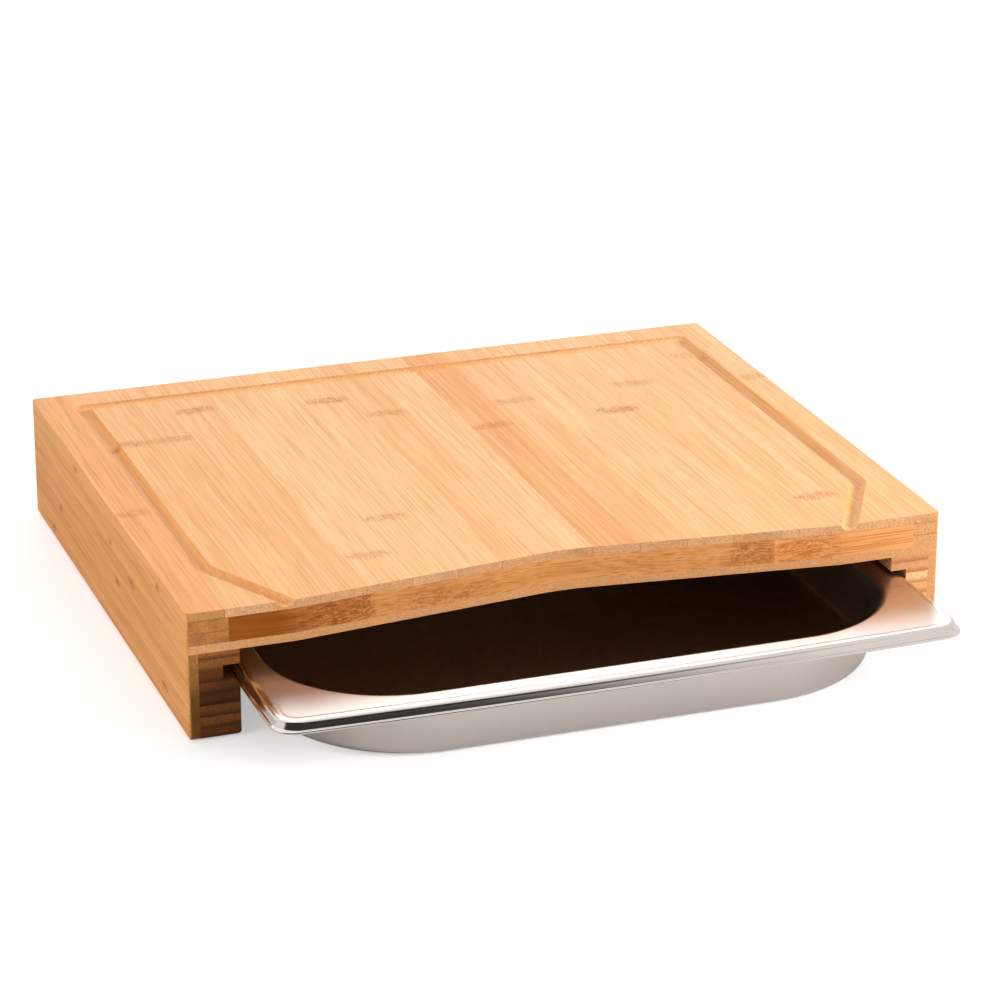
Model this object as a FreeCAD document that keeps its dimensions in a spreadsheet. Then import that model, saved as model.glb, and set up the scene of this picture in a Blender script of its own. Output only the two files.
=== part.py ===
import FreeCAD, Part
import math
import os
import re
import sys

import Sketcher

# A bamboo cutting board on two cheeks, with a pressed steel tray that slides out under it.
#
# Millimetres. +X is to the right, +Y is to the back, +Z is up, and the tray comes out to the front.
# The origin is on the table, under the middle of the board with its tray pulled out as it stands.

SIZES = {
    # The case as it stands on the table.
    "case_width": 363.0,
    "case_depth": 296.0,
    "corner_round": 2.0,
    # The board: three crossed layers of bamboo strips.
    "top_ply": 4.0,
    "core_ply": 11.7,
    "bottom_ply": 3.9,
    "first_strip": 18.0,
    "strip_width": 22.17,
    "front_core_strip": 3.8,
    "left_lipping": 19.4,
    "right_lipping": 13.4,
    # The cheeks that carry the board: an outer slat, and a block of flat lamellae beside it.
    "cheek_width": 24.0,
    "slat_thick": 5.2,
    "lamella_thick": 5.46,
    "cheek_round": 2.75,
    "back_rail_thick": 24.0,
    # The slots that the tray's rim runs in, cut into the cheeks' inner faces.
    "runner_height": 27.3,
    "slot_height": 7.4,
    "slot_depth": 7.7,
    "slot_to_board": 6.9,
    # The shallow notch in the board's front edge.
    "notch_inset": 50.0,
    "notch_depth": 14.8,
    "notch_round": 110.0,
    # The juice groove, by its centre line and its round-nosed cutter.
    "groove_radius": 4.0,
    "groove_depth": 3.0,
    "groove_left_inset": 21.3,
    "groove_right_inset": 18.9,
    "groove_back_inset": 21.3,
    "groove_turn": 50.0,
    "groove_left_runout": 24.8,
    "groove_right_runout": 27.2,
    "cutter_overrun": 6.0,
    # The steel tray and the room that it has in the case. It lies over to the right of its slots.
    "tray_reach": 69.4,
    "tray_setback": 6.5,
    "stop_gap": 0.5,
    "tray_side_play": 5.2,
    "tray_side_gap": 0.3,
    "tray_lift": 0.2,
    "table_clearance": 0.3,
    "rim_play": 2.0,
    "sheet_thick": 0.8,
    "rim_corner": 11.0,
    "rim_crown": 4200.0,
    "rim_round": 2.2,
    "lip_reach": 0.9,
    "lip_thick": 1.0,
    "lip_corner": 11.0,
    "side_flange": 15.3,
    "end_flange": 17.7,
    "mouth_round": 2.9,
    "mouth_corner": 57.4,
    "side_lean": 4.4,
    "end_lean": 1.9,
    "floor_corner": 65.4,
    "bowl_round": 5.0,
}

LEFT = "(-case_width / 2)"
RIGHT = "(case_width / 2)"
FRONT = "(-(case_depth - tray_reach) / 2)"
BACK = f"({FRONT} + case_depth)"
CHEEK_HEIGHT = "(runner_height + slot_height + slot_to_board)"
CORE_BOTTOM = f"({CHEEK_HEIGHT} + bottom_ply)"
CORE_TOP = f"({CORE_BOTTOM} + core_ply)"
CASE_HEIGHT = f"({CORE_TOP} + top_ply)"
SLOT_SPAN = "(case_width - 2 * (cheek_width - slot_depth))"
TRAY_WIDTH = f"({SLOT_SPAN} - tray_side_play)"
TRAY_LENGTH = "(case_depth - back_rail_thick - stop_gap - tray_setback)"
RIM_HEIGHT = "(slot_height - rim_play)"
BOWL_DROP = "(runner_height + tray_lift - table_clearance)"

doc = FreeCAD.newDocument("cutting_board_with_drawer_tray")
sheet = doc.addObject("Spreadsheet::Sheet", "sizes")
for row, (alias, size) in enumerate(SIZES.items(), 1):
    sheet.set(f"A{row}", str(size))
    sheet.setAlias(f"A{row}", alias)
doc.recompute()

sub_parts = []

# A sketch is drawn this far out at first, and its limits then give it its true size.
FIRST_REACH = 100.0
# An edge is level where its ends differ by less than this.
LEVEL_TOLERANCE = 1e-4
# A last strip narrower than this share of a whole one isn't cut.
SLIVER = 0.1


def formula(words):
    """Name the sheet in front of each of its aliases."""
    return re.sub(r"[a-z_]{3,}", lambda word: f"sizes.{word[0]}" if word[0] in SIZES else word[0], words)


def bind(feature, **formulas):
    """Bind properties, with __ for the dot in a path such as Placement.Base.x."""
    for path, words in formulas.items():
        feature.setExpression(path.replace("__", "."), formula(words))


def place(feature, x="0", y="0", z="0"):
    bind(feature, Placement__Base__x=x, Placement__Base__y=y, Placement__Base__z=z)


def block(name, low, size):
    """A plain rectangular piece from its low corner and its three sizes."""
    piece = doc.addObject("Part::Box", name)
    bind(piece, Length=size[0], Width=size[1], Height=size[2])
    place(piece, *low)
    return piece


def boolean(kind, name, base, tool):
    piece = doc.addObject(f"Part::{kind}", name)
    piece.Base = base
    piece.Tool = tool
    return piece


def sub_part(piece, name):
    piece.Label = name
    sub_parts.append(piece)


def origin_plane(body, role):
    return next(feature for feature in body.Origin.OriginFeatures if feature.Role == role)


def new_sketch(body, name, role="XY_Plane", level="0"):
    sketch = body.newObject("Sketcher::SketchObject", name)
    sketch.AttachmentSupport = (origin_plane(body, role), [""])
    sketch.MapMode = "FlatFace"
    bind(sketch, AttachmentOffset__Base__z=level)
    return sketch


def add_limit(sketch, kind, *arguments, size=None):
    """Add a constraint, bound to a formula where it has a size."""
    number = sketch.addConstraint(Sketcher.Constraint(kind, *arguments))
    if size is not None:
        sketch.setExpression(f"Constraints[{number}]", formula(size))


def rounded_rectangle(sketch, width, length, radius, crown=None):
    """Draw a rectangle with round corners about the sketch's origin.

    Its sides run anticlockwise from the front one, and each corner's arc joins a side to the next.
    With a crown, the front and back sides are arcs of that radius, and the length is taken between
    their middles.
    """
    half, bend, bow = FIRST_REACH, FIRST_REACH / 10, 40 * FIRST_REACH
    up = FreeCAD.Vector(0, 0, 1)
    sides = []
    corners = []
    for quarter in range(4):
        turn = FreeCAD.Rotation(up, 90 * quarter)
        start, end, corner, middle = (
            turn.multVec(FreeCAD.Vector(x, y, 0))
            for x, y in ((bend - half, -half), (half - bend, -half), (half - bend, bend - half), (0, bow - half))
        )
        heading = math.radians(90 * (quarter - 1))
        if crown and quarter in (0, 2):
            spread = math.asin((half - bend) / bow)
            side = Part.ArcOfCircle(Part.Circle(middle, up, bow), heading - spread, heading + spread)
        else:
            side = Part.LineSegment(start, end)
        sides.append(sketch.addGeometry(side))
        round_corner = Part.ArcOfCircle(Part.Circle(corner, up, bend), heading, heading + math.pi / 2)
        corners.append(sketch.addGeometry(round_corner))
    for quarter in range(4):
        add_limit(sketch, "Tangent", sides[quarter], 2, corners[quarter], 1)
        add_limit(sketch, "Tangent", corners[quarter], 2, sides[(quarter + 1) % 4], 1)
    for quarter in range(1, 4):
        add_limit(sketch, "Equal", corners[0], corners[quarter])
    add_limit(sketch, "Radius", corners[0], bend, size=radius)
    for quarter, sign in ((1, 1), (3, -1)):
        add_limit(sketch, "Vertical", sides[quarter])
        add_limit(sketch, "DistanceX", sides[quarter], 2, sign * half, size=f"{sign} * ({width}) / 2")
    for quarter, sign in ((2, 1), (0, -1)):
        if crown:
            middle_height = f"{sign} * (({length}) / 2 - ({crown}))"
            add_limit(sketch, "PointOnObject", sides[quarter], 3, -2)
            add_limit(sketch, "Radius", sides[quarter], bow, size=crown)
            add_limit(sketch, "DistanceY", sides[quarter], 3, sign * (half - bow), size=middle_height)
        else:
            add_limit(sketch, "Horizontal", sides[quarter])
            add_limit(sketch, "DistanceY", sides[quarter], 2, sign * half, size=f"{sign} * ({length}) / 2")


def polygon(sketch, corners):
    """Draw a closed outline through corners, each an x and a y formula."""
    lines = []
    for number in range(len(corners)):
        ends = []
        for corner in (number, number + 1):
            turn = 2 * math.pi * corner / len(corners)
            ends.append(FIRST_REACH * FreeCAD.Vector(math.cos(turn), math.sin(turn), 0))
        lines.append(sketch.addGeometry(Part.LineSegment(*ends)))
    for number, (x, y) in enumerate(corners):
        add_limit(sketch, "Coincident", lines[number - 1], 2, lines[number], 1)
        add_limit(sketch, "DistanceX", lines[number], 1, FIRST_REACH, size=x)
        add_limit(sketch, "DistanceY", lines[number], 1, FIRST_REACH, size=y)


def edges_at(feature, level, reach=math.inf):
    """Name the edges that lie wholly at one height, no further from the middle than reach in x."""
    found = []
    for number, edge in enumerate(feature.Shape.Edges, 1):
        box = edge.BoundBox
        is_level = max(abs(box.ZMin - level), abs(box.ZMax - level)) < LEVEL_TOLERANCE
        if is_level and max(-box.XMin, box.XMax) < reach:
            found.append(f"Edge{number}")
    if not found:
        raise RuntimeError(f"{feature.Name} has no edge at {level}")
    return found


def fillet(body, name, names_of_edges, radius):
    base = body.Tip
    feature = body.newObject("PartDesign::Fillet", name)
    feature.Base = (base, names_of_edges)
    bind(feature, Radius=radius)
    doc.recompute()


def extrude(kind, body, name, sketch, length, **settings):
    feature = body.newObject(f"PartDesign::{kind}", name)
    feature.Profile = sketch
    for setting, choice in settings.items():
        setattr(feature, setting, choice)
    bind(feature, Length=length)
    doc.recompute()


def pad(*arguments, **settings):
    extrude("Pad", *arguments, **settings)


def pocket(*arguments, **settings):
    extrude("Pocket", *arguments, **settings)


def loft(kind, body, name, first, last):
    """Join one outline to another with straight walls."""
    feature = body.newObject(f"PartDesign::{kind}Loft", name)
    feature.Profile = first
    feature.Sections = [last]
    feature.Ruled = True
    doc.recompute()


def make_case_section():
    """The case seen from the front: the board, and under its ends the two cheeks.

    Each cheek has a slot in its inner face, and round lower edges.
    """
    body = doc.addObject("PartDesign::Body", "case_section")
    sketch = new_sketch(body, "section", "XZ_Plane", f"-{BACK}")
    inner = f"({RIGHT} - cheek_width)"
    slot_top = "(runner_height + slot_height)"
    half = [
        (RIGHT, CASE_HEIGHT),
        (RIGHT, "0"),
        (inner, "0"),
        (inner, "runner_height"),
        (f"({inner} + slot_depth)", "runner_height"),
        (f"({inner} + slot_depth)", slot_top),
        (inner, slot_top),
        (inner, CHEEK_HEIGHT),
    ]
    polygon(sketch, half + [(f"-{x}", z) for x, z in reversed(half)])
    pad(body, "run", sketch, "case_depth")
    fillet(body, "soft_feet", edges_at(body.Tip, 0), "cheek_round")
    return body


def make_case_outline():
    """The case seen from above: a rectangle with softened corners."""
    body = doc.addObject("PartDesign::Body", "case_outline")
    sketch = new_sketch(body, "outline")
    rounded_rectangle(sketch, "case_width", "case_depth", "corner_round")
    pad(body, "height", sketch, CASE_HEIGHT)
    place(body, y=f"({FRONT} + {BACK}) / 2")
    return body


def make_notch_cutter():
    """Two straight slopes from the front edge that meet in a flat curve behind it."""
    body = doc.addObject("PartDesign::Body", "notch_cutter")
    sketch = new_sketch(body, "outline")
    foot = f"({RIGHT} - notch_inset)"
    outside = f"({FRONT} - cutter_overrun)"
    slope_left, apex_left, apex_top, apex_right, slope_right, outer_right, outer_left = (
        FIRST_REACH * FreeCAD.Vector(x, y, 0)
        for x, y in ((-1, -0.1), (-0.2, 0.1), (0, 0.12), (0.2, 0.1), (1, -0.1), (1, -0.3), (-1, -0.3))
    )
    slope_in = sketch.addGeometry(Part.LineSegment(slope_left, apex_left))
    apex = sketch.addGeometry(Part.Arc(apex_left, apex_top, apex_right))
    slope_out = sketch.addGeometry(Part.LineSegment(apex_right, slope_right))
    right_side = sketch.addGeometry(Part.LineSegment(slope_right, outer_right))
    across = sketch.addGeometry(Part.LineSegment(outer_right, outer_left))
    left_side = sketch.addGeometry(Part.LineSegment(outer_left, slope_left))
    add_limit(sketch, "Tangent", slope_in, 2, apex, 2)
    add_limit(sketch, "Tangent", apex, 1, slope_out, 1)
    add_limit(sketch, "Coincident", slope_out, 2, right_side, 1)
    add_limit(sketch, "Coincident", right_side, 2, across, 1)
    add_limit(sketch, "Coincident", across, 2, left_side, 1)
    add_limit(sketch, "Coincident", left_side, 2, slope_in, 1)
    add_limit(sketch, "Vertical", left_side)
    add_limit(sketch, "Vertical", right_side)
    add_limit(sketch, "Horizontal", across)
    add_limit(sketch, "PointOnObject", apex, 3, -2)
    add_limit(sketch, "Radius", apex, FIRST_REACH, size="notch_round")
    add_limit(sketch, "DistanceY", apex, 3, -FIRST_REACH, size=f"{FRONT} + notch_depth - notch_round")
    add_limit(sketch, "DistanceX", slope_in, 1, -FIRST_REACH, size=f"-{foot}")
    add_limit(sketch, "DistanceY", slope_in, 1, slope_left.y, size=FRONT)
    add_limit(sketch, "DistanceX", slope_out, 2, FIRST_REACH, size=foot)
    add_limit(sketch, "DistanceY", slope_out, 2, slope_right.y, size=FRONT)
    add_limit(sketch, "DistanceY", across, 1, outer_right.y, size=outside)
    pad(body, "height", sketch, f"{CASE_HEIGHT} + cutter_overrun")
    return body


def make_groove_cutter():
    """A round-nosed cutter's path: straight runs, with a ball at each turn.

    Both ends leave through the front edge at a slant.
    """
    level = f"({CASE_HEIGHT} + groove_radius - groove_depth)"
    run_past = "(groove_turn + cutter_overrun) / groove_turn"
    left = f"({LEFT} + groove_left_inset)"
    right = f"({RIGHT} - groove_right_inset)"
    back = f"({BACK} - groove_back_inset)"
    turn = f"({FRONT} + groove_turn)"
    outside = f"({FRONT} - cutter_overrun)"
    path = [
        (f"({left} + groove_left_runout * {run_past})", outside),
        (left, turn),
        (left, back),
        (right, back),
        (right, turn),
        (f"({right} - groove_right_runout * {run_past})", outside),
    ]
    pieces = []
    for number, (start, end) in enumerate(zip(path, path[1:]), 1):
        run = doc.addObject("Part::Cylinder", f"groove_run_{number}")
        across, along = (f"({last} - {first})" for first, last in zip(start, end))
        base = f"create(<<vector>>; {start[0]}; {start[1]}; {level})"
        lay_down = f"create(<<rotation>>; create(<<vector>>; -{along}; {across}; 0); 90)"
        bind(
            run,
            Radius="groove_radius",
            Height=f"sqrt({across} ^ 2 + {along} ^ 2)",
            Placement=f"create(<<placement>>; {base}; {lay_down})",
        )
        pieces.append(run)
    # The balls lie on their sides, so that no pole of theirs touches the circle where a run ends.
    tip_over = "create(<<rotation>>; create(<<vector>>; 1; -1; 0); 90)"
    for number, (x, y) in enumerate(path[1:-1], 1):
        ball = doc.addObject("Part::Sphere", f"groove_turn_{number}")
        middle = f"create(<<vector>>; {x}; {y}; {level})"
        bind(ball, Radius="groove_radius", Placement=f"create(<<placement>>; {middle}; {tip_over})")
        pieces.append(ball)
    cutter = doc.addObject("Part::MultiFuse", "groove_cutter")
    cutter.Shapes = pieces
    return cutter


def make_cut_case():
    """The whole case as it is shaped after gluing, before it is told apart into its strips."""
    softened = boolean("Common", "softened_case", make_case_section(), make_case_outline())
    notched = boolean("Cut", "notched_case", softened, make_notch_cutter())
    return boolean("Cut", "cut_case", notched, make_groove_cutter())


def strips_in(length, width):
    """Count the strips that fill a length. The last one takes up what is left over."""
    return max(1, math.ceil(length / width - SLIVER))


def make_case_pieces():
    cut_case = make_cut_case()

    def piece(name, low, size):
        blank = block(f"{name}_blank", low, size)
        sub_part(boolean("Common", name, blank, cut_case), name)

    # Top layer: strips that run from front to back.
    count = 1 + strips_in(SIZES["case_width"] - SIZES["first_strip"], SIZES["strip_width"])
    for number in range(1, count + 1):
        low = f"first_strip + {number - 2} * strip_width" if number > 1 else "0"
        high = f"first_strip + {number - 1} * strip_width" if number < count else "case_width"
        width = f"({high}) - ({low})"
        piece(f"top_strip_{number:02d}", (f"{LEFT} + {low}", FRONT, CORE_TOP), (width, "case_depth", "top_ply"))

    # Core: strips that run across, in two halves where the notch parts the first one.
    core_left = f"({LEFT} + left_lipping)"
    core_right = f"({RIGHT} - right_lipping)"
    behind_first = f"({FRONT} + front_core_strip)"
    behind_second = f"({behind_first} + strip_width)"
    rest = "case_depth - front_core_strip - strip_width"
    whole = f"{core_right} - {core_left}"
    piece("core_front_strip_left", (core_left, FRONT, CORE_BOTTOM), (f"-{core_left}", "front_core_strip", "core_ply"))
    piece("core_front_strip_right", ("0", FRONT, CORE_BOTTOM), (core_right, "front_core_strip", "core_ply"))
    piece("core_notched_strip", (core_left, behind_first, CORE_BOTTOM), (whole, "strip_width", "core_ply"))
    piece("core_panel", (core_left, behind_second, CORE_BOTTOM), (whole, rest, "core_ply"))

    # Lippings close the core's ends, each of two layers.
    for side, low, width in (("left", LEFT, "left_lipping"), ("right", core_right, "right_lipping")):
        for place_name, share in (("lower", 0), ("upper", 1)):
            level = f"{CORE_BOTTOM} + {share} * core_ply / 2"
            piece(f"{side}_lipping_{place_name}", (low, FRONT, level), (width, "case_depth", "core_ply / 2"))

    piece("bottom_layer", (LEFT, FRONT, CHEEK_HEIGHT), ("case_width", "case_depth", "bottom_ply"))

    # Cheeks: an outer slat on edge, and flat lamellae beside it.
    height = SIZES["runner_height"] + SIZES["slot_height"] + SIZES["slot_to_board"]
    count = strips_in(height, SIZES["lamella_thick"])
    block_width = "cheek_width - slat_thick"
    for side, slat_low, block_low in (
        ("left", LEFT, f"{LEFT} + slat_thick"),
        ("right", f"{RIGHT} - slat_thick", f"{RIGHT} - cheek_width"),
    ):
        piece(f"{side}_cheek_slat", (slat_low, FRONT, "0"), ("slat_thick", "case_depth", CHEEK_HEIGHT))
        for number in range(1, count + 1):
            low = f"{number - 1} * lamella_thick"
            thick = "lamella_thick" if number < count else f"{CHEEK_HEIGHT} - {low}"
            piece(f"{side}_cheek_lamella_{number}", (block_low, FRONT, low), (block_width, "case_depth", thick))

    # Back rail: it ties the cheeks together behind the tray and stops it.
    rail_low = (f"{LEFT} + cheek_width", f"{BACK} - back_rail_thick", "0")
    rail = block("back_rail", rail_low, ("case_width - 2 * cheek_width", "back_rail_thick", CHEEK_HEIGHT))
    sub_part(rail, "back_rail")


def make_tray():
    """A pan pressed from one steel sheet. Its rim turns down to a lip that runs in the slots.

    Its own origin is in the middle of the lip's lower face.
    """
    body = doc.addObject("PartDesign::Body", "drawer_tray")

    def rim_outline(name, inset, radius):
        sketch = new_sketch(body, name)
        width, length = f"{TRAY_WIDTH} - 2 * {inset}", f"{TRAY_LENGTH} - 2 * {inset}"
        rounded_rectangle(sketch, width, length, radius, crown=f"rim_crown - {inset}")
        return sketch

    def mouth_outline(name, skin):
        sketch = new_sketch(body, name, level=RIM_HEIGHT)
        width = f"{TRAY_WIDTH} - 2 * (side_flange - {skin})"
        length = f"{TRAY_LENGTH} - 2 * (end_flange - {skin})"
        rounded_rectangle(sketch, width, length, f"mouth_corner + {skin}")
        return sketch

    def floor_outline(name, skin, level):
        sketch = new_sketch(body, name, level=level)
        width = f"{TRAY_WIDTH} - 2 * (side_flange + side_lean - {skin})"
        length = f"{TRAY_LENGTH} - 2 * (end_flange + end_lean - {skin})"
        rounded_rectangle(sketch, width, length, f"floor_corner + {skin}")
        return sketch

    top = SIZES["slot_height"] - SIZES["rim_play"]
    under = top - SIZES["sheet_thick"]
    bottom = SIZES["table_clearance"] - SIZES["runner_height"] - SIZES["tray_lift"]
    floor = bottom + SIZES["sheet_thick"]
    half_span = SIZES["case_width"] / 2 - SIZES["cheek_width"] + SIZES["slot_depth"]
    near_bowl = half_span - SIZES["tray_side_play"] / 2 - SIZES["side_flange"] + 2 * SIZES["sheet_thick"]

    # The rim: a flat flange with a round shoulder, a short wall and a lip that turns outwards.
    pad(body, "rim", rim_outline("rim_outline", "lip_reach", "rim_corner"), RIM_HEIGHT)
    fillet(body, "rim_shoulder", edges_at(body.Tip, top), "rim_round")
    pad(body, "lip", rim_outline("lip_outline", "0", "lip_corner"), "lip_thick")
    wall = "(lip_reach + sheet_thick)"
    rim_inside = rim_outline("rim_inside_outline", wall, "rim_corner - sheet_thick")
    pocket(body, "rim_inside", rim_inside, f"{RIM_HEIGHT} - sheet_thick", Reversed=True)
    fillet(body, "rim_inside_shoulder", edges_at(body.Tip, under), "rim_round - sheet_thick")

    # The bowl hangs from the flange. Its walls lean in, and its corners are wider at the floor.
    outer_floor = floor_outline("outer_floor_outline", "sheet_thick", f"-{BOWL_DROP}")
    loft("Additive", body, "bowl", mouth_outline("outer_mouth_outline", "sheet_thick"), outer_floor)
    inner_floor = floor_outline("inner_floor_outline", "0", f"sheet_thick - {BOWL_DROP}")
    loft("Subtractive", body, "bowl_inside", mouth_outline("inner_mouth_outline", "0"), inner_floor)
    fillet(body, "bowl_inside_foot", edges_at(body.Tip, floor), "bowl_round - sheet_thick")
    fillet(body, "bowl_foot", edges_at(body.Tip, bottom), "bowl_round")
    fillet(body, "mouth_under", edges_at(body.Tip, under, near_bowl), "mouth_round - sheet_thick")
    fillet(body, "mouth_edge", edges_at(body.Tip, top, near_bowl), "mouth_round")

    aside = "tray_side_play / 2 - tray_side_gap"
    place(body, aside, f"{FRONT} - tray_reach + {TRAY_LENGTH} / 2", "runner_height + tray_lift")
    sub_part(body, "drawer_tray")


make_case_pieces()
make_tray()
doc.recompute()

failed = [feature.Name for feature in doc.Objects if {"Invalid", "Error"} & set(feature.State)]
for piece in sub_parts:
    if piece.Shape.isNull() or not piece.Shape.isValid() or piece.Shape.Volume <= 0:
        failed.append(piece.Label)
if failed:
    sys.exit(f"These failed: {', '.join(failed)}")

os.makedirs("parts", exist_ok=True)
for piece in sub_parts:
    piece.Shape.exportStep(f"parts/{piece.Label}.step")
    print(f"{piece.Label}: {len(piece.Shape.Solids)} solid, {piece.Shape.Volume / 1000:.2f} cm3")
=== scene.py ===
import math

import bpy
import numpy as np
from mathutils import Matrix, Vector


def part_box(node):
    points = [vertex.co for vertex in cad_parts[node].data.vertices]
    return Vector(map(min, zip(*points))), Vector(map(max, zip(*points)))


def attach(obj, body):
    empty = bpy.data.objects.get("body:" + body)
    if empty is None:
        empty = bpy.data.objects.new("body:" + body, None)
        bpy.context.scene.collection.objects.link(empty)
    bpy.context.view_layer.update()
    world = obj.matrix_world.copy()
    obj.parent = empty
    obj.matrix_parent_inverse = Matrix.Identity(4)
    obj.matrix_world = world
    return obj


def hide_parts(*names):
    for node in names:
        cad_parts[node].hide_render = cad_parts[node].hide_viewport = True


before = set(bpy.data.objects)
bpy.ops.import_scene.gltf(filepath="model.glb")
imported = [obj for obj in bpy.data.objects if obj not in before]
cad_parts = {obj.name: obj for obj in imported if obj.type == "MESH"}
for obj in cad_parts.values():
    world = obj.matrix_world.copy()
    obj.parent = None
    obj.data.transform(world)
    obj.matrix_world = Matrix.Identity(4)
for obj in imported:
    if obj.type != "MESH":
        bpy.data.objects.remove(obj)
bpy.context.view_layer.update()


# ---- Cutting surface -------------------------------------------------------------------------
# Seventeen strips split from bamboo culms, laid flat side by side and glued edge to edge, then
# sanded and oiled. They run from front to back, so their ends show in the front edge.

X, Y, Z = 0, 1, 2


def linear(colour):
    """The linear RGBA of an sRGB hex colour such as "#F5C48C"."""
    parts = [int(colour[i:i + 2], 16) / 255 for i in (1, 3, 5)]
    return (*(p / 12.92 if p <= 0.04045 else ((p + 0.055) / 1.055) ** 2.4 for p in parts), 1.0)


def add(tree, kind, inputs, **settings):
    """One more node. Each input holds the value given, or is fed by the socket or node given."""
    node = tree.nodes.new(kind)
    for name, value in settings.items():
        setattr(node, name, value)
    for name, value in inputs.items():
        if isinstance(value, bpy.types.Node):
            value = value.outputs[0]
        if isinstance(value, bpy.types.NodeSocket):
            tree.links.new(value, node.inputs[name])
        else:
            node.inputs[name].default_value = value
    return node


def stretched(across, along, grain):
    """The scale of one repeat every `across` mm, and every `along` mm with the grain, if any."""
    scale = [1000 / across] * 3
    scale[grain] = 1000 / along if along else 0.0
    return scale


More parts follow.
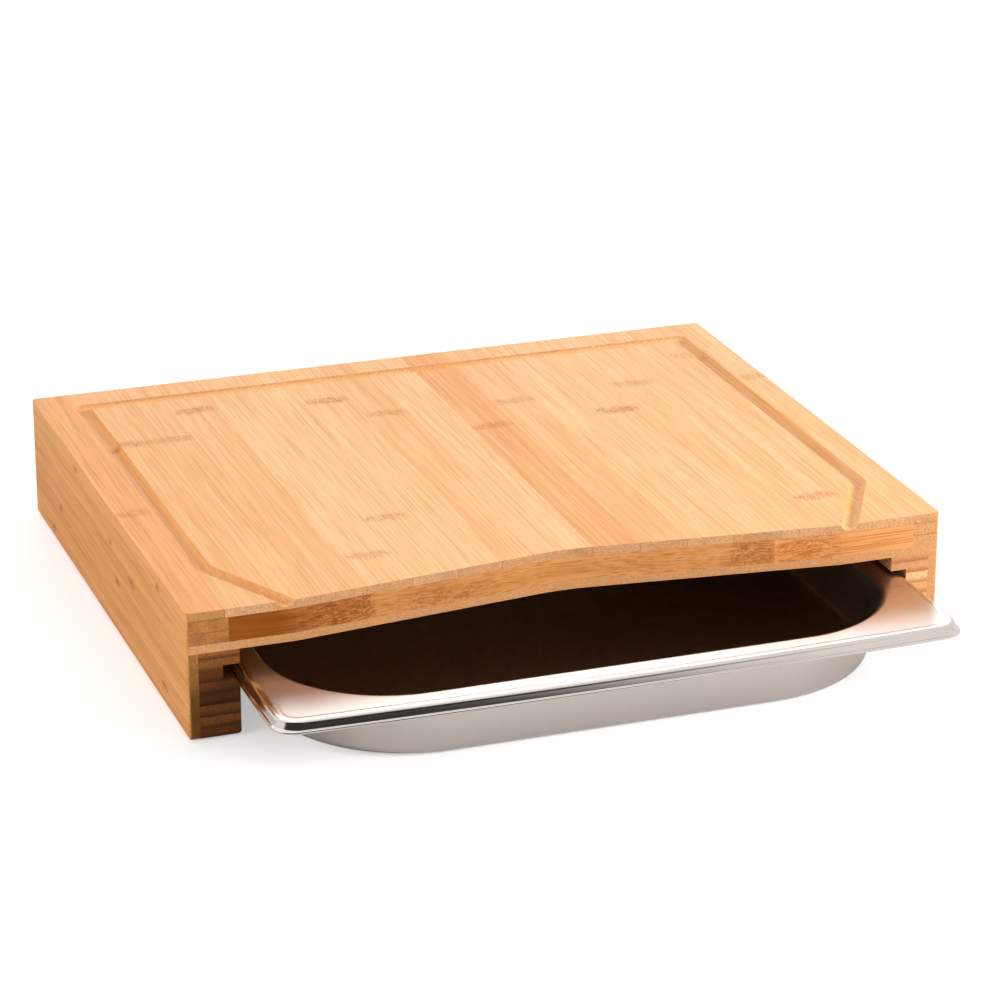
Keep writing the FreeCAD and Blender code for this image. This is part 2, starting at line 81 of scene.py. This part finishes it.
def bamboo(name, grain, seed, pale, deep, fibre, end, dot, knots=(), knot=None, skin=None,
           stain=None, lined=0.5):
    """Oiled bamboo: a straight-grained grass wood whose fibre bundles run along the strip.

    The bundles are cells 0.8 mm apart, drawn out 90 times along the grain's axis, so they are fine
    lines on the long faces and brown dots on the cut ends. Lined is the strength of the fibre's
    colour in them. Each knot is an oval of short dark ticks, given by its centre and half sizes in
    millimetres and its strength. A skin is an axis and two levels on it in millimetres: the ends
    darken from one to the other. On most pieces that is where the culm's outside was; on the left
    slat the end darkens downwards. A stain is an oval of another colour, given like a knot.
    """
    material = bpy.data.materials.new(name)
    material.use_nodes = True
    tree = material.node_tree
    shader = tree.nodes["Principled BSDF"]
    shader.inputs["IOR"].default_value = 1.5
    shader.inputs["Specular IOR Level"].default_value = 0.12
    coord = add(tree, "ShaderNodeTexCoord", {})
    across = [1.0] * 3
    across[grain] = 0.0
    sway_reach, wave_reach = 0.0022, 0.006
    # The seed gives each piece a place of its own in the patterns.
    start = (seed * 3.7, seed * 5.3, seed * 2.9)

    # The fibres wander by a millimetre from side to side.
    place = add(tree, "ShaderNodeMapping", {"Vector": coord.outputs["Object"], "Location": start,
                                            "Scale": stretched(9, 75, grain)})
    sway = add(tree, "ShaderNodeTexNoise", {"Vector": place, "Scale": 1.0, "Detail": 2.0})
    bent = add(tree, "ShaderNodeVectorMath", {0: sway.outputs["Color"], 2: coord.outputs["Object"],
                                              1: [sway_reach * a for a in across]},
               operation="MULTIPLY_ADD")

    # Tone drifts slowly along a strip, and its fibres are lines 0.8 mm apart. Some of the bundles
    # show as darker veins among them.
    place = add(tree, "ShaderNodeMapping", {"Vector": bent, "Location": start,
                                            "Scale": stretched(6, 160, grain)})
    drift = add(tree, "ShaderNodeTexNoise", {"Vector": place, "Scale": 1.0, "Detail": 3.0})
    drift = add(tree, "ShaderNodeMapRange", {"Value": drift, "From Min": 0.3, "From Max": 0.7})
    place = add(tree, "ShaderNodeMapping", {"Vector": bent, "Location": start,
                                            "Scale": stretched(0.8, 70, grain)})
    lines = add(tree, "ShaderNodeTexNoise", {"Vector": place, "Scale": 1.0, "Detail": 3.0})
    lines = add(tree, "ShaderNodeMapRange", {"Value": lines, "From Min": 0.46, "From Max": 0.7})
    place = add(tree, "ShaderNodeMapping", {"Vector": bent, "Location": start,
                                            "Scale": stretched(0.8, 72, grain)})
    cells = add(tree, "ShaderNodeTexVoronoi", {"Vector": place, "Scale": 1.0})
    bundles = add(tree, "ShaderNodeMapRange", {"Value": cells, "From Min": 0.5, "From Max": 0.22},
                  interpolation_type="SMOOTHSTEP")
    shown = add(tree, "ShaderNodeMapRange", {"Value": cells.outputs["Color"], "From Min": 0.25,
                                             "From Max": 0.75})
    veins = add(tree, "ShaderNodeMath", {0: bundles, 1: shown}, operation="MULTIPLY")

    # Ovals wave to and fro along the grain. A stain lies under the fibres, and a knot over them.
    face = add(tree, "ShaderNodeMix", {0: drift, 6: linear(pale), 7: linear(deep)},
               data_type="RGBA")
    place = add(tree, "ShaderNodeMapping", {"Vector": coord.outputs["Object"], "Location": start,
                                            "Scale": stretched(4.5, None, grain)})
    wave = add(tree, "ShaderNodeTexNoise", {"Vector": place, "Scale": 1.0, "Detail": 2.0})
    wave = add(tree, "ShaderNodeVectorMath", {0: wave.outputs["Color"], 2: coord.outputs["Object"],
                                              1: [wave_reach * (1 - a) for a in across]},
               operation="MULTIPLY_ADD")
    ovals = []
    for centre, half, strength in (*knots, *([stain[:3]] if stain else [])):
        middle = [c + 500 * wave_reach * (1 - a) for c, a in zip(centre, across)]
        reach = add(tree, "ShaderNodeMapping", {"Vector": wave, "Scale": [1000 / h for h in half],
                                                "Location": [-m / h for m, h in zip(middle, half)]})
        reach = add(tree, "ShaderNodeVectorMath", {0: reach}, operation="LENGTH")
        ovals.append(add(tree, "ShaderNodeMapRange", {"Value": reach.outputs["Value"],
                                                      "From Min": 1.0, "From Max": 0.3,
                                                      "To Max": strength},
                         interpolation_type="SMOOTHSTEP"))
    if stain:
        face = add(tree, "ShaderNodeMix", {0: ovals.pop(), 6: face.outputs[2],
                                           7: linear(stain[3])}, data_type="RGBA")
    for part, strength in ((lines, lined), (veins, 0.8 * lined)):
        share = add(tree, "ShaderNodeMath", {0: part, 1: strength}, operation="MULTIPLY")
        face = add(tree, "ShaderNodeMix", {0: share, 6: face.outputs[2], 7: linear(fibre)},
                   data_type="RGBA")
    if ovals:
        marks = ovals[0]
        for oval in ovals[1:]:
            marks = add(tree, "ShaderNodeMath", {0: marks, 1: oval}, operation="MAXIMUM")
        place = add(tree, "ShaderNodeMapping", {"Vector": coord.outputs["Object"],
                                                "Location": start,
                                                "Scale": stretched(1.3, 3.2, grain)})
        ticks = add(tree, "ShaderNodeTexNoise", {"Vector": place, "Scale": 1.0, "Detail": 2.0,
                                                 "Distortion": 1.8})
        ticks = add(tree, "ShaderNodeMath", {0: marks, 1: 0.16, 2: ticks}, operation="MULTIPLY_ADD")
        ticks = add(tree, "ShaderNodeMapRange", {"Value": ticks, "From Min": 0.58,
                                                 "From Max": 0.68})
        for part in (0.22, ticks):
            share = add(tree, "ShaderNodeMath", {0: marks, 1: part}, operation="MULTIPLY")
            face = add(tree, "ShaderNodeMix", {0: share, 6: face.outputs[2], 7: linear(knot)},
                       data_type="RGBA")

    # The ends show the same bundles cut across.
    share = add(tree, "ShaderNodeMath", {0: drift, 1: 0.4}, operation="MULTIPLY")
    ends = add(tree, "ShaderNodeMix", {0: share, 6: linear(end), 7: linear(deep)},
               data_type="RGBA")
    share = add(tree, "ShaderNodeMath", {0: bundles, 1: 0.5}, operation="MULTIPLY")
    ends = add(tree, "ShaderNodeMix", {0: share, 6: ends.outputs[2], 7: linear(dot)},
               data_type="RGBA")
    if skin:
        axis, clear, dark = skin
        level = add(tree, "ShaderNodeSeparateXYZ", {0: coord.outputs["Object"]})
        share = add(tree, "ShaderNodeMapRange", {"Value": level.outputs[axis],
                                                 "From Min": clear / 1000, "From Max": dark / 1000,
                                                 "To Max": 0.65},
                    interpolation_type="SMOOTHERSTEP")
        ends = add(tree, "ShaderNodeMix", {0: share, 6: ends.outputs[2], 7: linear(dot)},
                   data_type="RGBA")
    facing = add(tree, "ShaderNodeSeparateXYZ", {0: coord.outputs["Normal"]})
    facing = add(tree, "ShaderNodeMath", {0: facing.outputs[grain]}, operation="ABSOLUTE")
    facing = add(tree, "ShaderNodeMapRange", {"Value": facing, "From Min": 0.7, "From Max": 0.95})
    colour = add(tree, "ShaderNodeMix", {0: facing, 6: face.outputs[2], 7: ends.outputs[2]},
                 data_type="RGBA")
    tree.links.new(colour.outputs[2], shader.inputs["Base Color"])

    # The oil leaves a low sheen, duller on the fibres, which lie a tenth of a millimetre deep.
    gloss = add(tree, "ShaderNodeMapRange", {"Value": lines, "To Min": 0.46, "To Max": 0.6})
    tree.links.new(gloss.outputs[0], shader.inputs["Roughness"])
    height = add(tree, "ShaderNodeMath", {0: lines, 1: veins}, operation="ADD")
    relief = add(tree, "ShaderNodeBump", {"Strength": 0.25, "Distance": 0.00012, "Height": height},
                 invert=True)
    tree.links.new(relief.outputs[0], shader.inputs["Normal"])
    return material


def give_finish(node, material):
    """Put the material in every slot of a wooden solid."""
    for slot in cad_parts[node].material_slots:
        slot.material = material


# Each strip's tone, and its knot: the place behind the front edge in millimetres, and strength.
# The culm's outside leaves a dark line at each strip's right edge, where its end shows.
front, skin_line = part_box("bottom_layer")[0].y * 1000, 0.4
tones = {"straw": ("#FAC68E", "#F4BA7C", "#E09A56"), "honey": ("#F9BF84", "#F1AF70", "#DF9855"),
         "amber": ("#F8B274", "#EDA35F", "#D78C48")}
first_end, other_ends = "#B08050", ("#D29D72", "#CB9468", "#D3A07A", "#CE996D")
strips = (
    ("amber", 124, 0.6), ("honey", 215, 0.7), ("honey", 215, 0.7), ("honey", 252, 0.8),
    ("straw", 39, 0.6), ("straw", 81, 0.6), ("straw", 244, 0.8), ("honey", 216, 0.6),
    ("straw", 160, 0.0), ("amber", 181, 0.7), ("honey", 212, 0.6), ("straw", 20, 0.0),
    ("straw", 182, 0.8), ("straw", 216, 0.6), ("straw", 39, 0.7), ("straw", 248, 0.5),
    ("straw", 206, 0.6),
)
for number, (tone, place, strength) in enumerate(strips, 1):
    low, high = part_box(f"top_strip_{number:02d}")
    centre = ((low.x + high.x) * 500, front + place, high.z * 1000)
    end = first_end if number == 1 else other_ends[number % 4]
    give_finish(f"top_strip_{number:02d}", bamboo(
        f"oiled_bamboo_strip_{number:02d}", Y, number * 7.3, *tones[tone], end, "#96602F",
        knots=[(centre, (20, 7, 9), strength)], knot="#CB7634", lined=0.6,
        skin=(X, high.x * 1000 - skin_line, high.x * 1000)))


# ---- Core ------------------------------------------------------------------------------------
# Bamboo strips running from left to right under the cutting surface, so that the board stays flat.
# The front one is parted by the finger notch, and the next one is seen inside the notch.

core_end = ("#B57D45", "#6E4524")
give_finish("core_front_strip_left", bamboo(
    "toasted_bamboo_front_left", X, 3.1, "#DC9458", "#CB8145", "#7E3F12", *core_end,
    lined=0.8, knots=[((-111, -113, 51), (26, 9, 14), 0.75)], knot="#8F4715",
    stain=((-152, -113, 51), (37, 30, 30), 1.0, "#98541A")))
give_finish("core_front_strip_right", bamboo(
    "toasted_bamboo_front_right", X, 9.4, "#EFA76A", "#E39A5B", "#BD7036", *core_end,
    lined=0.9, knots=[((112, -113, 50), (28, 8, 14), 0.7)], knot="#B9682F"))
give_finish("core_notched_strip", bamboo(
    "toasted_bamboo_notch", X, 5.2, "#E29E62", "#D48D50", "#B06C34", *core_end,
    lined=0.7, knots=[((-98, -109, 51), (8, 8, 14), 0.9), ((-60, -105, 49), (40, 14, 9), 0.5),
                      ((90, -108, 51), (20, 9, 12), 0.7)], knot="#9A531F"))
give_finish("core_panel", bamboo(
    "toasted_bamboo_panel", X, 6.7, "#E0A062", "#CF8C4E", "#A66B36", *core_end))


# ---- Lippings --------------------------------------------------------------------------------
# Two lamellae at each end of the core, running front to back. They close the core's end grain.

side_face, side_tones, side_knot = 181.5, ("#F2B070", "#E29A58", "#C98040"), "#B4651F"
# The left lippings' end and dot colours are darker than the right ones' partly as painted shade,
# for the light that falls off towards the left.
lippings = (
    ("left_lipping_lower", "#A46C39", "#6C431C", ()),
    ("left_lipping_upper", "#A66D3A", "#6C431C", (((-side_face, 91.7, 56), (8, 6, 2.5), 1.0),
                                                  ((-side_face, -64.3, 55), (8, 7, 2.5), 1.0))),
    ("right_lipping_lower", "#D39A68", "#84481E", ()),
    ("right_lipping_upper", "#D39A68", "#84481E", (((side_face, 40.0, 54), (8, 6, 2.5), 0.8),)),
)
for number, (node, end, dot, knots) in enumerate(lippings):
    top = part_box(node)[1].z * 1000
    give_finish(node, bamboo(
        f"oiled_bamboo_{node}", Y, 20 + number * 4.1, *side_tones, end, dot,
        knots=knots, knot=side_knot, skin=(Z, top - 0.6, top)))


# ---- Bottom layer ----------------------------------------------------------------------------
# The board's lower face: bamboo running front to back like the cutting surface, glued to the core.

give_finish("bottom_layer", bamboo(
    "oiled_bamboo_bottom", Y, 41.0, "#F4B46A", "#E69C52", "#C98040", "#D29A6C", "#A06A3A",
    knots=[((-side_face, 23.7, 44), (8, 6, 2.5), 0.8), ((60, 40, 41.6), (12, 6, 6), 0.6)],
    knot=side_knot))


# ---- Cheeks ----------------------------------------------------------------------------------
# Each cheek is a slat on edge outside and eight flat lamellae inside, glued up from offcuts of
# different tones, so their ends make brown bands of different depth. The left cheek's colours are
# darker than the right's partly as painted shade, for the light that falls off towards the left.
# The slots are milled.

slat_knots = [((-side_face, front + behind, level), (8, half, 3), 0.9) for behind, level, half in (
    (125, 28, 7), (97, 38, 9), (239, 23, 6), (256, 6, 5), (41, 10, 8))]
# The left slat's end and dot colours are darker than the right slat's partly as painted shade, and
# its end darkens downwards from 42 mm to 22 mm.
give_finish("left_cheek_slat", bamboo(
    "oiled_bamboo_left_slat", Y, 51.0, "#F0AC6C", "#DF9652", "#BA7436", "#9A6430", "#5A3413",
    knots=slat_knots, knot="#AE5E20", skin=(Z, 42, 22)))
slat_knots = [((side_face, front + behind, level), (8, 8, 3), 0.8)
              for behind, level in ((73, 30), (233, 12))]
give_finish("right_cheek_slat", bamboo(
    "oiled_bamboo_right_slat", Y, 57.0, *side_tones, "#CF9566", "#9C5E30",
    knots=slat_knots, knot=side_knot))
# The left lamellae's end, dot and face colours are darker than the right ones' partly as painted
# shade, for the light that falls off towards the left.
left_ends_tone_and_shade = ("#70401A", "#865022", "#7A481C", "#5A300E", "#66391A", "#5E3412", "#8A5328",
             "#9A5E32")
right_ends = ("#E09A5C", "#E8A566", "#E5A062", "#EBAA6C", "#E6A468", "#EFB784", "#D99868",
              "#D89268")
for side, ends, dot, face in (("left", left_ends_tone_and_shade, "#2E1806", "#A66D3A"),
                              ("right", right_ends, "#A0643A", "#E0A065")):
    for number, end in enumerate(ends, 1):
        node = f"{side}_cheek_lamella_{number}"
        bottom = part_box(node)[0].z * 1000
        give_finish(node, bamboo(
            f"toasted_bamboo_{node}", Y, 60 + number * 3.3 + len(side), face, end, dot, end, dot,
            skin=(Z, bottom + 3.2, bottom)))


# ---- Back rail -------------------------------------------------------------------------------
# A bamboo bar across the back between the cheeks. It ties them together and stops the tray.

give_finish("back_rail", bamboo(
    "oiled_bamboo_rail", X, 95.0, "#E0A56B", "#CF9055", "#B57A42", *core_end,
    knots=[((-70, 182, 25), (7, 6, 12), 0.7), ((90, 182, 14), (7, 6, 12), 0.7)], knot=side_knot))


# ---- Drawer tray -----------------------------------------------------------------------------
# A pan pressed from 0.8 mm stainless sheet. Its flange falls a little from the bowl to a shallow
# step, turns down in a round shoulder and ends in a lip that runs in the slots.

sheet = 0.0008
# The lip reaches out past the rim, ends in a rolled hem, and lies above the tray's underside.
lip_reach, lip_rise, hem, fillet = 0.0018, 0.0272, 0.0007, 0.0006
# The rim turns down in the shoulder, and its wall flares by an angle in degrees. The front and
# back edges are arcs of the crown's radius.
shoulder, flare, rim_corner, crown_radius = 0.0022, 15, 0.011, 4.2
# The step lies inside the rim. The flange's panel drops from the rim's top to the bowl's mouth.
step_in, step_run, step_drop, panel_drop = 0.0047, 0.001, 0.00016, 0.0001
# The bowl's mouth, then its floor: the walls lean in on the way down, and the corners widen.
side_flange, end_flange, mouth_corner, mouth_round = 0.0153, 0.0177, 0.0574, 0.0029
side_lean, end_lean, floor_corner, foot_round = 0.0044, 0.0019, 0.0654, 0.005
tray_low, tray_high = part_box("drawer_tray")
middle_x, middle_y = (tray_low.x + tray_high.x) / 2, (tray_low.y + tray_high.y) / 2
half_width, half_length = (tray_high.x - tray_low.x) / 2, (tray_high.y - tray_low.y) / 2


def outline(half_x, half_y, corner, bow):
    """A rectangle with round corners as a ring of points, anticlockwise from its right side.

    Its front and back sides lie on the curve y = half_y - bow x^2 / 2. Each corner's arc stops
    where its tangent has that curve's slope. One quarter is worked out, and mirrored.
    """
    join = (half_x - corner) / (1 - corner * bow)
    lean = math.atan(bow * join)
    centre_y = half_y - bow * join ** 2 / 2 - corner * math.cos(lean)
    turn = np.linspace(0, math.pi / 2 - lean, 21)[1:-1]
    side, end = np.linspace(0, centre_y, 25), np.linspace(join, 0, 33)
    x = np.concatenate([np.full(25, half_x), half_x - corner + corner * np.cos(turn), end])
    y = np.concatenate([side, centre_y + corner * np.sin(turn), half_y - bow * end ** 2 / 2])
    quarter = np.stack([x, y], 1)
    return np.concatenate([quarter[:-1], (quarter[::-1] * (-1, 1))[:-1], -quarter[:-1],
                           (quarter[::-1] * (1, -1))[:-1]])


def lifted(ring, level):
    """A ring of points about the tray's middle, at a level."""
    return np.column_stack([ring + (middle_x, middle_y), np.full(len(ring), level)])


def rim_ring(out, level):
    """The rim's wall moved out by an amount."""
    half = half_width - lip_reach + out, half_length - lip_reach + out
    return lifted(outline(*half, rim_corner + min(out, 0), 1 / crown_radius), level)


def bowl_ring(out, level):
    """The bowl's wall moved out by an amount, at the lean and the corners that a level has."""
    fall = (tray_high.z - level) / (tray_high.z - tray_low.z)
    half = (half_width - side_flange - side_lean * fall + out,
            half_length - end_flange - end_lean * fall + out)
    corner = mouth_corner + (floor_corner - mouth_corner) * fall + out
    return lifted(outline(*half, corner, 0), level)


def around(ring_at, out, level, radius, start, stop, steps):
    """Rings along an arc of the profile. Its angles are in degrees, 0 outwards and 90 up."""
    return [ring_at(out + radius * math.cos(a), level + radius * math.sin(a))
            for a in np.radians(np.linspace(start, stop, steps))]


def between(first, second, steps):
    """Rings spread evenly between two rings, without them."""
    return [first + (second - first) * t for t in np.linspace(0, 1, steps + 2)[1:-1]]


def floor_rings(edge):
    """Rings that grow evenly from a small one round a floor's middle to its edge, without it."""
    hub = edge * (0, 0, 1) + (middle_x, middle_y, 0)
    return [hub + (edge - hub) * share for share in np.linspace(0.08, 1, 8)[:-1]]


# The profile, as rings: under the floor, out and up the bowl, under the flange, round the lip,
# over the shoulder and the step, and back down into the bowl.
rim_top, lip_under, panel = tray_high.z, tray_low.z + lip_rise, tray_high.z - panel_drop
foot_level, foot_out = tray_low.z + foot_round, sheet - foot_round
mouth_level = panel - mouth_round
wall_levels = np.linspace(foot_level, mouth_level, 6)[1:-1]
bowl_outside = (around(bowl_ring, foot_out, foot_level, foot_round, -90, 0, 12)
                + [bowl_ring(sheet, level) for level in wall_levels]
                + around(bowl_ring, mouth_round, mouth_level, mouth_round - sheet, 180, 90, 9))

# The rim's wall leans out by the flare, from the shoulder's arc to a fillet at the lip's root.
# The root's place follows from the wall's height between those two arcs.
lean = math.radians(flare)
fillet_at = lip_under + 2 * hem + fillet
wall = rim_top - shoulder * (1 - math.sin(lean)) - (fillet_at - fillet * math.sin(lean))
root = (shoulder + fillet) * math.cos(lean) - shoulder + wall * math.tan(lean)
rim = (around(rim_ring, -shoulder, rim_top - shoulder, shoulder - sheet, 90, flare, 8)
       + around(rim_ring, root, lip_under + hem + fillet, hem + fillet, 180 + flare, 270, 6)
       + around(rim_ring, lip_reach - hem, lip_under + hem, hem, -90, 90, 9)
       + around(rim_ring, root, fillet_at, fillet, 270, 180 + flare, 6)
       + around(rim_ring, -shoulder, rim_top - shoulder, shoulder, flare, 90, 14))

# The step is an S-curve: 0.5 - 0.75 t + 0.25 t^3 of its drop, where t goes inwards from 1 to -1.
step = [rim_ring(step_run / 2 * t - step_in, rim_top - step_drop * (0.5 - t * (0.75 - t * t / 4)))
        for t in np.linspace(1, -1, 7)]
bowl_inside = (around(bowl_ring, mouth_round, mouth_level, mouth_round, 90, 180, 14)
               + [bowl_ring(0, level) for level in wall_levels[::-1]]
               + around(bowl_ring, foot_out, foot_level, foot_round - sheet, 0, -90, 12))
under_step = rim_ring(-step_in, panel - sheet)
outside = (floor_rings(bowl_outside[0]) + bowl_outside
           + between(bowl_outside[-1], under_step, 6) + [under_step])
inside = (between(step[-1], bowl_inside[0], 10) + bowl_inside
          + floor_rings(bowl_inside[-1])[::-1])
rings = np.array(outside + rim + step + inside)

# Four-sided faces join each ring to the next one, and a flat face closes the first and the last.
count, size = rings.shape[:2]
here = np.arange(count * size).reshape(count, size)
after = np.roll(here, -1, axis=1)
faces = np.stack([here[:-1], after[:-1], after[1:], here[1:]], -1).reshape(-1, 4).tolist()
faces += [here[0, ::-1].tolist(), here[-1].tolist()]
pan = bpy.data.meshes.new("pressed_tray")
pan.from_pydata(rings.reshape(-1, 3), [], faces)
pan.polygons.foreach_set("use_smooth", np.ones(len(pan.polygons), bool))
burnished = np.zeros((count, size))
burnished[len(outside):len(outside + rim)] = 1
pan.attributes.new("polish", "FLOAT", "POINT").data.foreach_set("value", burnished.ravel())
tray = bpy.data.objects.new("pressed_tray", pan)
bpy.context.scene.collection.objects.link(tray)

# Satin stainless steel. Its brush marks are 30 mm long, and drawn half a millimetre apart so that
# they show, and its tone has faint clouds. The press burnishes the rim, which is glossier.
steel = bpy.data.materials.new("satin_stainless_steel")
steel.use_nodes = True
tree = steel.node_tree
shader = tree.nodes["Principled BSDF"]
shader.inputs["Metallic"].default_value = 1.0
coord = add(tree, "ShaderNodeTexCoord", {})
place = add(tree, "ShaderNodeMapping", {"Vector": coord.outputs["Object"],
                                        "Scale": stretched(0.5, 30, X)})
brush = add(tree, "ShaderNodeTexNoise", {"Vector": place, "Scale": 1.0, "Detail": 3.0})
cloud = add(tree, "ShaderNodeTexNoise", {"Vector": coord.outputs["Object"], "Scale": 28.0,
                                         "Detail": 2.0})
tint = add(tree, "ShaderNodeMix", {0: cloud, 6: linear("#E0D6D0"), 7: linear("#D4CAC4")},
           data_type="RGBA")
tree.links.new(tint.outputs[2], shader.inputs["Base Color"])
polish = add(tree, "ShaderNodeAttribute", {}, attribute_name="polish")
least = add(tree, "ShaderNodeMapRange", {"Value": polish.outputs["Fac"], "To Min": 0.24,
                                         "To Max": 0.05})
gloss = add(tree, "ShaderNodeMath", {0: brush, 1: 0.12, 2: least}, operation="MULTIPLY_ADD")
tree.links.new(gloss.outputs[0], shader.inputs["Roughness"])
relief = add(tree, "ShaderNodeBump", {"Strength": 0.05, "Distance": 0.00002, "Height": brush})
tree.links.new(relief.outputs[0], shader.inputs["Normal"])
pan.materials.append(steel)
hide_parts("drawer_tray")
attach(tray, "tray")


# ---- Studio ----------------------------------------------------------------------------------
# A white floor in a white room, with a soft lamp to the right of the front, a broader one to the
# left, and weak ones above and behind. Gloss doesn't show the two front lamps.

reach, table_level = 9, -0.0003
ground = bpy.data.meshes.new("studio_floor")
ground.from_pydata([(-reach, -reach, table_level), (reach, -reach, table_level),
                    (reach, reach, table_level), (-reach, reach, table_level)], [], [(0, 1, 2, 3)])
floor = bpy.data.objects.new("studio_floor", ground)
bpy.context.scene.collection.objects.link(floor)
paper = bpy.data.materials.new("white_paper")
paper.use_nodes = True
tree = paper.node_tree
shader = tree.nodes["Principled BSDF"]
shader.inputs["Base Color"].default_value = linear("#E8E8E8")
shader.inputs["Roughness"].default_value = 0.9
shader.inputs["Specular IOR Level"].default_value = 0.1
shader.inputs["Emission Color"].default_value = (1, 1, 1, 1)
# The paper glows a little to the eye, and more far from the board, where no lamp reaches it.
coord = add(tree, "ShaderNodeTexCoord", {})
far = add(tree, "ShaderNodeVectorMath", {0: coord.outputs["Object"]}, operation="LENGTH")
far = add(tree, "ShaderNodeMapRange", {"Value": far.outputs["Value"], "From Min": 0.7,
                                       "From Max": 2.2, "To Min": 0.45, "To Max": 1.0})
ray = add(tree, "ShaderNodeLightPath", {})
lift = add(tree, "ShaderNodeMath", {0: ray.outputs["Is Camera Ray"], 1: far},
           operation="MULTIPLY")
tree.links.new(lift.outputs[0], shader.inputs["Emission Strength"])
ground.materials.append(paper)

# The room is dim to the left of its front, where steel mirrors it in the rounded rim. The dim part
# is given by the direction of its middle, and the cosines of the angles where it ends and is full.
dim_middle, dim_end, dim_full = (-0.383, -0.821, 0.423), 0.63, 0.75
world = bpy.data.worlds.new("studio")
bpy.context.scene.world = world
world.use_nodes = True
tree = world.node_tree
ray = add(tree, "ShaderNodeLightPath", {})
coord = add(tree, "ShaderNodeTexCoord", {})
towards = add(tree, "ShaderNodeVectorMath", {0: coord.outputs["Generated"], 1: dim_middle},
              operation="DOT_PRODUCT")
room = add(tree, "ShaderNodeMapRange", {"Value": towards.outputs["Value"], "From Min": dim_end,
                                        "From Max": dim_full, "To Min": 1.0, "To Max": 0.04},
           interpolation_type="SMOOTHSTEP")
strength = add(tree, "ShaderNodeMapRange", {"Value": ray.outputs["Is Glossy Ray"], "To Min": 0.5,
                                            "To Max": room})
plain = add(tree, "ShaderNodeMath", {0: ray.outputs["Is Camera Ray"],
                                     1: ray.outputs["Is Transmission Ray"]}, operation="MAXIMUM")
strength = add(tree, "ShaderNodeMapRange", {"Value": plain, "To Min": strength, "To Max": 1.0})
tree.links.new(strength.outputs[0], tree.nodes["Background"].inputs["Strength"])
tree.nodes["Background"].inputs["Color"].default_value = (1, 1, 1, 1)

board_middle = Vector((0, 0.03, 0.04))
for name, place, width, power, in_gloss in (
    ("lamp_right", (0.95, -0.95, 0.6), 0.5, 17.0, False),
    ("lamp_left", (-1.7, -0.4, 0.7), 1.0, 10.0, False),
    ("lamp_above", (-0.2, 0.5, 1.6), 1.6, 4.0, True),
    ("lamp_behind", (0.6, 1.9, 0.9), 1.2, 8.0, True),
):
    lamp = bpy.data.lights.new(name, "AREA")
    lamp.size, lamp.energy = width, power
    holder = bpy.data.objects.new(name, lamp)
    holder.location = place
    holder.visible_glossy = in_gloss
    holder.rotation_euler = (board_middle - Vector(place)).to_track_quat("-Z", "Y").to_euler()
    bpy.context.scene.collection.objects.link(holder)

# The camera stands to the left of the front, at an angle of 21 degrees above the table.
azimuth, elevation, distance = math.radians(-19.678), math.radians(21.188), 1.90123
target = Vector((0.046947, 0.119026, 0))
back = Vector((math.sin(azimuth) * math.cos(elevation), -math.cos(azimuth) * math.cos(elevation),
               math.sin(elevation)))
lens = bpy.data.cameras.new("camera")
lens.lens, lens.sensor_width, lens.clip_end = 132.8, 36.0, 50.0
camera = bpy.data.objects.new("camera", lens)
camera.location = target + back * distance
camera.rotation_euler = (-back).to_track_quat("-Z", "Y").to_euler()
bpy.context.scene.collection.objects.link(camera)
bpy.context.scene.camera = camera
bpy.context.scene.view_settings.view_transform = "Standard"
